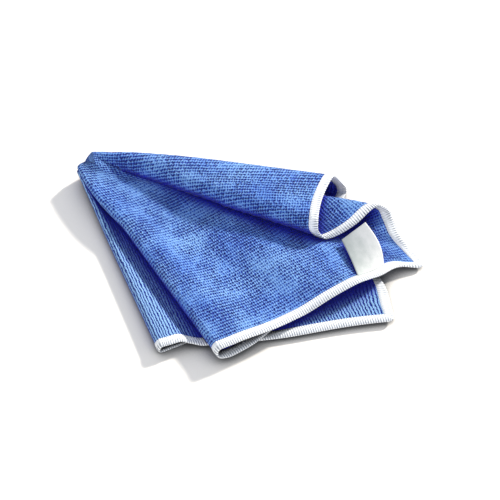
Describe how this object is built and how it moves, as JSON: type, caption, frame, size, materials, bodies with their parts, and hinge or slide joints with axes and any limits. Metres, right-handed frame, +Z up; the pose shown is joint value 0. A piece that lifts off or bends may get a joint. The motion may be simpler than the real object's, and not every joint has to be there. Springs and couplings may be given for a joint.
{
  "type": "microfibre cloth",
  "caption": "Square microfibre cleaning cloth with an overlocked hem and a sewn label, folded in quarters and lying loosely, with a soft pleat and a hollow roll.",
  "frame": {"origin": "middle of the underside of the folded cloth's box, on the surface it lies on", "axes": "+Z up, +X along the folded cloth from its pointed tip towards its open hems, -Y towards the viewer of the picture"},
  "size_m": [0.2806, 0.202, 0.0316],
  "materials": {
    "cloth_blue": "matt microfibre terry knit with a short pile",
    "label_white": "white satin ribbon, bare",
    "thread_white": "white overlock thread"
  },
  "bodies": {
    "root": {"cloth": "cloth_blue", "label": "label_white"}
  },
  "joints": []
}
